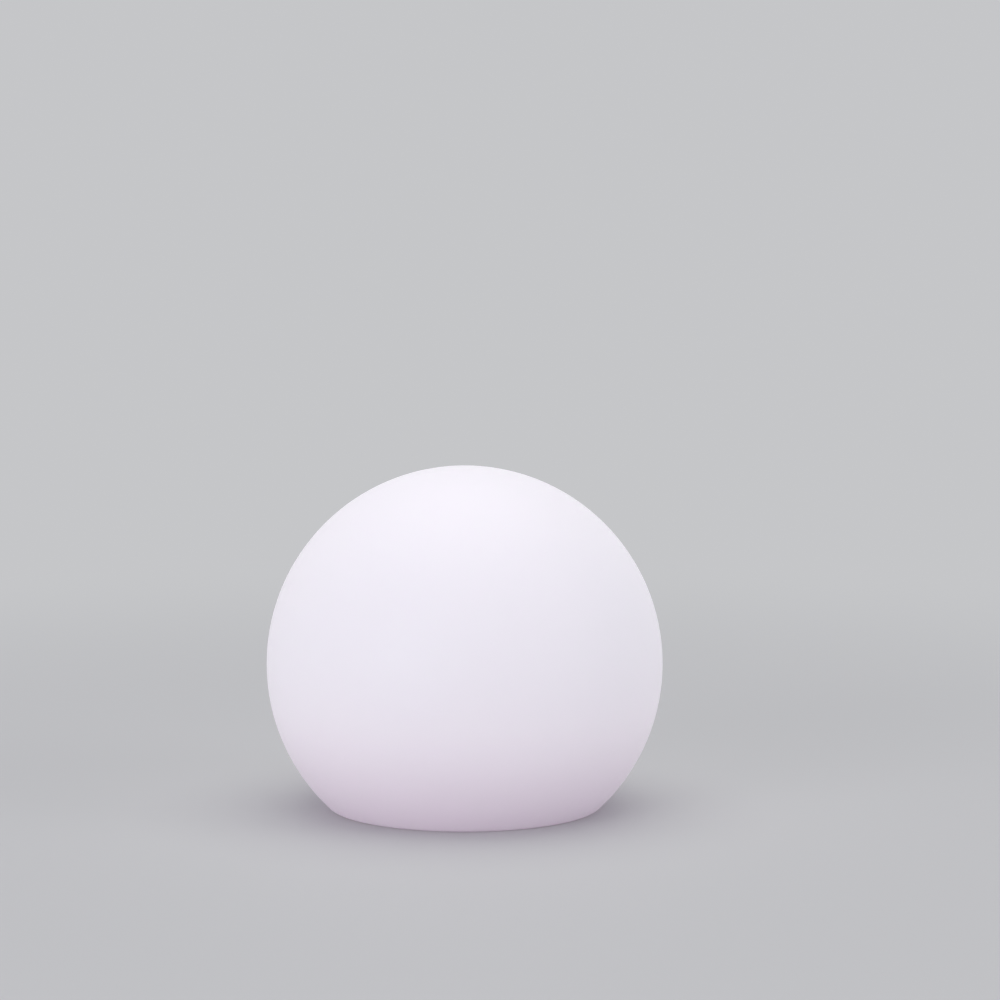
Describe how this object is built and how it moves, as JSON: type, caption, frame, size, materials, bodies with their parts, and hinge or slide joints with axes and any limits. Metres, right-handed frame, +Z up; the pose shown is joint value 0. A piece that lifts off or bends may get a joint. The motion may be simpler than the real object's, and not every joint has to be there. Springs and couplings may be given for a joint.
{
  "type": "garden globe light",
  "caption": "Cordless garden lamp: a white ball with a flat foot, lit by a rechargeable light core that screws into its base, with a button and a folding loop below.",
  "frame": {"origin": "middle of the flat foot, on the surface that the lamp stands on", "axes": "+Z up along the ball's axis; the hanging loop folds towards +Y and the charging socket is on the -Y side of the base"},
  "size_m": [0.2, 0.2, 0.1735],
  "materials": {
    "globe_polyethylene": "satin, milky, lets light through",
    "core_plastic": "fine moulded texture, white",
    "silicone": "smooth, translucent white",
    "loop_steel": "drawn stainless wire",
    "button_plastic": "grey, smooth",
    "switch_plastic": "black",
    "plunger_plastic": "off-white",
    "lens_acrylic": "clear",
    "socket_plastic": "black",
    "contact_metal": "nickel-plated brass",
    "nut_brass": "nickel-plated brass",
    "circuit_board": "green solder mask",
    "light_board": "white solder mask on aluminium",
    "chip_black": "black",
    "connector_white": "cream",
    "screw_steel": "zinc-plated steel",
    "cell_wrap": "blue heat-shrink sleeve",
    "tab_nickel": "nickel strip",
    "frame_plastic": "white",
    "led_plastic": "white with a pale yellow window",
    "receiver_epoxy": "dark, infrared-passing",
    "dome_acrylic": "frosted",
    "wire_insulation": "PVC, one colour a wire"
  },
  "bodies": {
    "globe": {"globe_shell": "globe_polyethylene"},
    "seal": {"seal_ring": "silicone"},
    "light_core": {"core_housing": "core_plastic", "plate_gasket": "silicone", "base_plate": "core_plastic", "plate_screws": "screw_steel", "button_seal": "silicone", "push_switch": "switch_plastic", "indicator_lens": "lens_acrylic", "charge_socket": "socket_plastic", "socket_contacts": "contact_metal", "socket_washer": "silicone", "socket_nut": "nut_brass", "flap_anchor": "silicone", "control_board": "circuit_board", "board_chips": "chip_black", "board_connectors": "connector_white", "board_screws": "screw_steel", "battery_cell": "cell_wrap", "battery_end_tab": "tab_nickel", "battery_end_board": "circuit_board", "battery_clamps": "frame_plastic", "clamp_screws": "screw_steel", "inner_frame": "frame_plastic", "frame_screws": "screw_steel", "led_board": "light_board", "led_chips": "led_plastic", "led_board_screws": "screw_steel", "remote_receiver": "receiver_epoxy", "diffuser_dome": "dome_acrylic", "dome_gasket": "silicone", "dome_screws": "screw_steel", "led_leads": "wire_insulation", "battery_leads": "wire_insulation", "socket_leads": "wire_insulation"},
    "button": {"power_button": "button_plastic"},
    "plunger": {"switch_plunger": "plunger_plastic"},
    "flap": {"port_flap": "silicone"},
    "loop": {"hanging_loop": "loop_steel"}
  },
  "joints": [
    {"name": "core_travel", "type": "slide", "parent": "globe", "child": "seal", "axis": [0, 0, -1], "range_m": [0, 0.00751]},
    {"name": "core_turn", "type": "hinge", "parent": "seal", "child": "light_core", "pos_m": [0, 0, 0.03], "axis": [0, 0, -1], "range_deg": [0, 450]},
    {"name": "button_press", "type": "slide", "parent": "light_core", "child": "button", "axis": [0, 0, 1], "range_m": [0, 0.0008], "stiffness_N_per_m": 2500, "springref_m": -0.0003},
    {"name": "plunger_press", "type": "slide", "parent": "light_core", "child": "plunger", "axis": [0, 0, 1], "range_m": [0, 0.0009]},
    {"name": "flap_hinge", "type": "hinge", "parent": "light_core", "child": "flap", "pos_m": [0, -0.0338, 0.009], "axis": [-1, 0, 0], "range_deg": [0, 120]},
    {"name": "loop_hinge", "type": "hinge", "parent": "light_core", "child": "loop", "pos_m": [0, 0.01, 0.0095], "axis": [-1, 0, 0], "range_deg": [0, 180]}
  ],
  "couplings": [
    {"joint": "core_travel", "follows": "core_turn", "m_per_rad": 0.00095493},
    {"joint": "plunger_press", "follows": "button_press", "ratio": 1}
  ]
}
